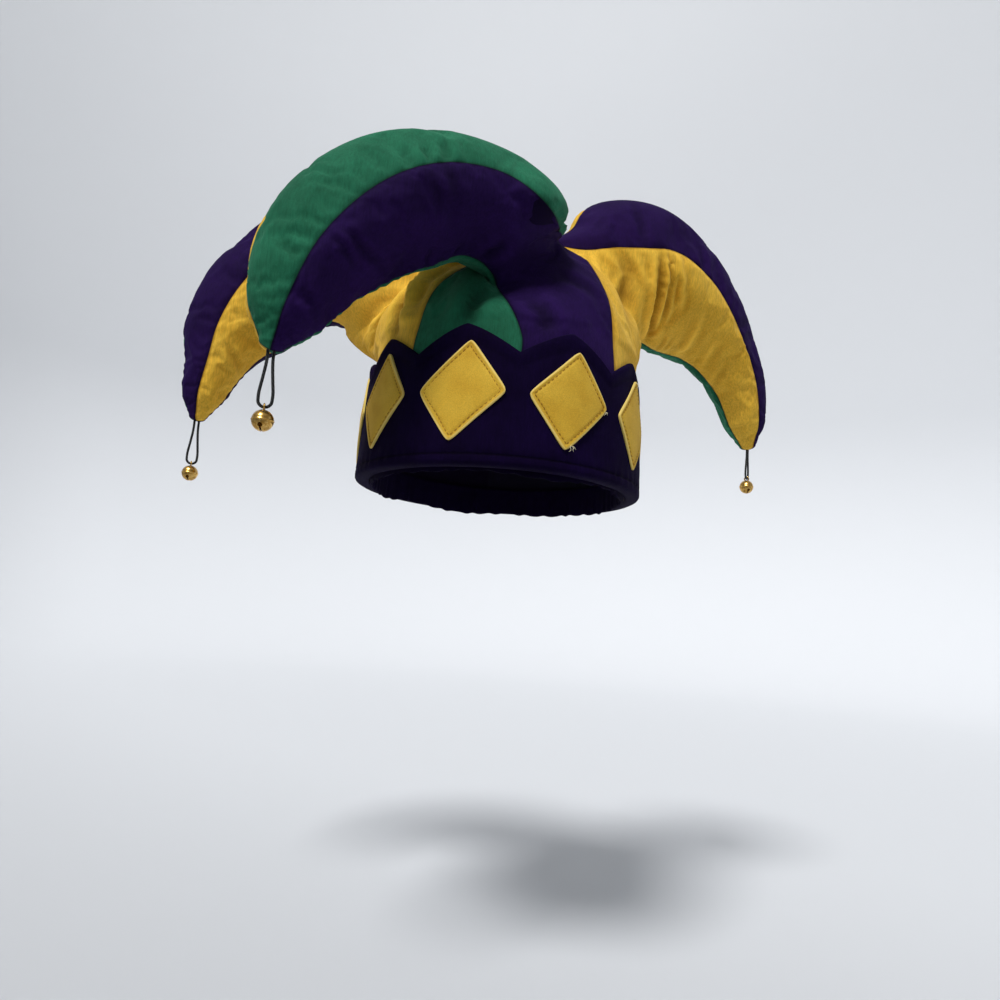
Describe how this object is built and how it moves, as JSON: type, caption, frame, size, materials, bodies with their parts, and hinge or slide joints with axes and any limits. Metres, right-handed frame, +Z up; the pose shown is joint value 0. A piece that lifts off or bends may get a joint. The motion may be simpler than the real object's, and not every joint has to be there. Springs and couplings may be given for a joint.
{
  "type": "jester hat",
  "caption": "Cloth jester hat with three stuffed horns, a turned-up pointed cuff with diamond patches and a bell on a cord loop at each horn tip.",
  "frame": {"origin": "middle of the head opening at the rim, where a head holds the hat", "axes": "+Z up out of the crown, the front of the hat faces -Y, +X to the right of a viewer in front"},
  "size_m": [0.4835, 0.2676, 0.2603],
  "materials": {
    "purple_cloth": "deep purple cloth, stuffed",
    "green_cloth": "green cloth, stuffed",
    "yellow_cloth": "golden yellow cloth, stuffed",
    "cuff_velour": "very dark purple velour",
    "patch_cloth": "yellow cloth with a stitched edge",
    "bell_brass": "polished brass",
    "black_cord": "black round cord"
  },
  "bodies": {
    "root": {"front_horn_lower_gore_right": "purple_cloth", "front_horn_lower_gore_left": "green_cloth", "front_horn_upper_gore_right": "green_cloth", "front_horn_upper_gore_left": "yellow_cloth", "right_horn_lower_gore_right": "green_cloth", "right_horn_lower_gore_left": "yellow_cloth", "right_horn_upper_gore_right": "yellow_cloth", "right_horn_upper_gore_left": "purple_cloth", "left_horn_lower_gore_right": "yellow_cloth", "left_horn_lower_gore_left": "purple_cloth", "left_horn_upper_gore_right": "purple_cloth", "left_horn_upper_gore_left": "green_cloth", "cuff": "cuff_velour", "inner_hem": "cuff_velour", "diamond_1": "patch_cloth", "diamond_2": "patch_cloth", "diamond_3": "patch_cloth", "diamond_4": "patch_cloth", "diamond_5": "patch_cloth", "diamond_6": "patch_cloth", "diamond_7": "patch_cloth", "diamond_8": "patch_cloth", "diamond_9": "patch_cloth", "diamond_10": "patch_cloth", "front_cord": "black_cord", "front_bell": "bell_brass", "right_cord": "black_cord", "right_bell": "bell_brass", "left_cord": "black_cord", "left_bell": "bell_brass"}
  },
  "joints": []
}
